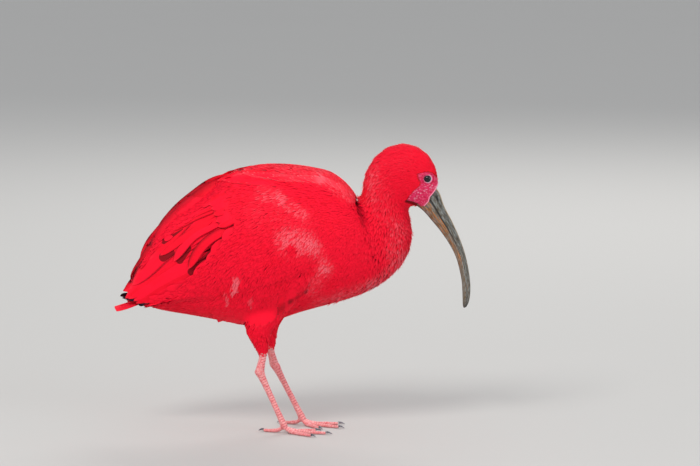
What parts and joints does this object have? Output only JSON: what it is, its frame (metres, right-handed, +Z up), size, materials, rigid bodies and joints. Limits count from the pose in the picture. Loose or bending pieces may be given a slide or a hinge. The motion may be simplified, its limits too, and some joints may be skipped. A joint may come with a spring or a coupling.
{
  "type": "scarlet ibis, life-size standing model",
  "caption": "Still life-size wading bird standing on flat feet: hunched oval body with folded wings, short tail, rounded head and a long slender bill curved down.",
  "frame": {"origin": "On the floor, below the middle of the bird's box: halfway along its length from the tail's end to the bill's foremost curve, in its plane of symmetry", "axes": "+X forwards, the way the bird faces; +Y to the bird's left; +Z up, with the soles at z = 0"},
  "size_m": [0.4278, 0.1296, 0.3466],
  "materials": {
    "plumage": "soft matt scarlet feathers",
    "quills": "smooth satin scarlet flight feathers",
    "wing_tips": "blue-black satin feather tips",
    "bare_skin": "scaly matt pink skin",
    "bill": "worn grey-brown horn with a low sheen",
    "claw": "dark horn",
    "eye": "wet gloss"
  },
  "bodies": {
    "root": {"bill_lower": "bill", "bill_upper": "bill", "claw_hind_left": "claw", "claw_hind_right": "claw", "claw_inner_left": "claw", "claw_inner_right": "claw", "claw_middle_left": "claw", "claw_middle_right": "claw", "claw_outer_left": "claw", "claw_outer_right": "claw", "eye_left": "eye", "eye_right": "eye", "head": "plumage", "neck_lower": "plumage", "neck_upper": "plumage", "shank_left": "bare_skin", "shank_right": "bare_skin", "tail": "quills", "tarsus_left": "bare_skin", "tarsus_right": "bare_skin", "thigh_left": "plumage", "thigh_right": "plumage", "toe_hind_left": "bare_skin", "toe_hind_right": "bare_skin", "toe_inner_left": "bare_skin", "toe_inner_right": "bare_skin", "toe_middle_left": "bare_skin", "toe_middle_right": "bare_skin", "toe_outer_left": "bare_skin", "toe_outer_right": "bare_skin", "trunk": "plumage", "wing_coverts_left": "plumage", "wing_coverts_right": "plumage", "wing_quills_left": "quills", "wing_quills_right": "quills", "wing_tip_left": "wing_tips", "wing_tip_right": "wing_tips"}
  },
  "joints": []
}
